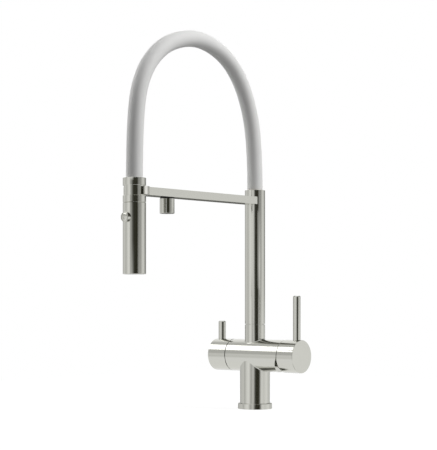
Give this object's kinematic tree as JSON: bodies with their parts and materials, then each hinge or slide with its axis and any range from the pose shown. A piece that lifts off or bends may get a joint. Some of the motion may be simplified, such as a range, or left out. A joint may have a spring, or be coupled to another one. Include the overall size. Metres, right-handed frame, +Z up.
{
  "type": "drinking water filter tap",
  "caption": "Tall kitchen tap for hot, cold and filtered water: barrel body with rod levers, turning riser, arched white hose and pull-out spray docked in the open yoke of a straight arm.",
  "frame": {"origin": "centre of the base's underside, on the worktop", "axes": "+Z up, X along the barrel with the tall mixing lever at +X, -Y along the arm to the user"},
  "size_m": [0.1462, 0.2903, 0.5046],
  "materials": {
    "brushed_nickel": "finely brushed nickel",
    "brass": "machined brass",
    "stainless_steel": "plain stainless steel",
    "dark_plastic": "moulded technical plastic",
    "ceramic": "lapped ceramic",
    "seal_rubber": "moulded seal rubber",
    "hose_white": "matt white silicone",
    "magnet": "plated magnet"
  },
  "bodies": {
    "body": {"base_ring": "brushed_nickel", "deck_seal": "seal_rubber", "mixer_body": "brushed_nickel", "cartridge_housing": "dark_plastic", "cartridge_port_seals": "seal_rubber", "fixed_disc": "ceramic", "cartridge_ring_nut": "brass", "filter_headwork": "brass", "filter_port_seals": "seal_rubber", "filter_fixed_disc": "ceramic", "swivel_bearing_rings": "dark_plastic", "swivel_stop_screw": "stainless_steel"},
    "riser": {"riser_column": "brushed_nickel", "riser_seals": "seal_rubber", "holder_arm": "brushed_nickel", "docking_yoke": "brushed_nickel", "docking_magnet": "magnet", "arm_nipple": "brass", "filtered_water_tube": "stainless_steel", "filter_spout_elbow": "brass", "filter_spout": "brushed_nickel", "filter_spout_washer": "seal_rubber", "filter_spout_seal": "seal_rubber", "filter_aerator": "dark_plastic", "riser_hose_ferrule": "brass", "hose_sleeve": "hose_white", "hose_support_spring": "stainless_steel", "inner_hose": "dark_plastic"},
    "mix_turret": {"cartridge_turret": "dark_plastic", "lever_pivot_pin": "stainless_steel"},
    "mix_lever": {"mixing_cap": "brushed_nickel", "mixing_lever_rod": "brushed_nickel", "mixing_cap_screw": "stainless_steel", "cartridge_lever": "brass"},
    "mix_disc": {"moving_disc": "ceramic", "disc_driver": "dark_plastic"},
    "filter_lever": {"filter_cap": "brushed_nickel", "filter_lever_rod": "brushed_nickel", "filter_cap_screw": "stainless_steel", "filter_spindle": "brass", "filter_spindle_seal": "seal_rubber", "filter_moving_disc": "ceramic"},
    "spray_nut": {"hose_nut": "brushed_nickel"},
    "spray_head": {"docking_neck": "brushed_nickel", "spray_collar": "brushed_nickel", "spray_shell": "brushed_nickel", "valve_core": "dark_plastic", "spray_check_valve": "dark_plastic", "button_bezel": "brushed_nickel", "spray_face": "dark_plastic", "stream_insert": "dark_plastic", "stream_tube": "brass", "button_spring": "stainless_steel"},
    "button": {"spray_button": "brushed_nickel", "diverter_spool": "stainless_steel"}
  },
  "joints": [
    {"name": "riser_swivel", "type": "hinge", "parent": "body", "child": "riser", "pos_m": [0, 0, 0.1165], "axis": [0, 0, 1], "range_deg": [-75, 75]},
    {"name": "mix_temperature", "type": "hinge", "parent": "body", "child": "mix_turret", "pos_m": [0.052, 0, 0.0738], "axis": [1, 0, 0], "range_deg": [0, 90]},
    {"name": "mix_flow", "type": "hinge", "parent": "mix_turret", "child": "mix_lever", "pos_m": [0.052, 0, 0.0738], "axis": [0, 1, 0], "range_deg": [0, 20]},
    {"name": "disc_slide", "type": "slide", "parent": "mix_turret", "child": "mix_disc", "axis": [0, 0, 1], "range_m": [0, 0.0064]},
    {"name": "filter_turn", "type": "hinge", "parent": "body", "child": "filter_lever", "pos_m": [-0.0364, 0, 0.0738], "axis": [1, 0, 0], "range_deg": [0, 90]},
    {"name": "spray_pull", "type": "slide", "parent": "riser", "child": "spray_nut", "axis": [0, -1, 0], "range_m": [0, 0.04], "deforming": ["hose_sleeve", "hose_support_spring", "inner_hose"]},
    {"name": "spray_twist", "type": "hinge", "parent": "spray_nut", "child": "spray_head", "pos_m": [0, -0.2474, 0.2941], "axis": [0, 0, 1], "continuous": true},
    {"name": "button_press", "type": "slide", "parent": "spray_head", "child": "button", "axis": [0, 1, 0], "range_m": [0, 0.0022], "stiffness_N_per_m": 400, "springref_m": -0.001, "deforming": ["button_spring"]}
  ],
  "couplings": [
    {"joint": "disc_slide", "follows": "mix_flow", "m_per_rad": 0.018127}
  ]
}
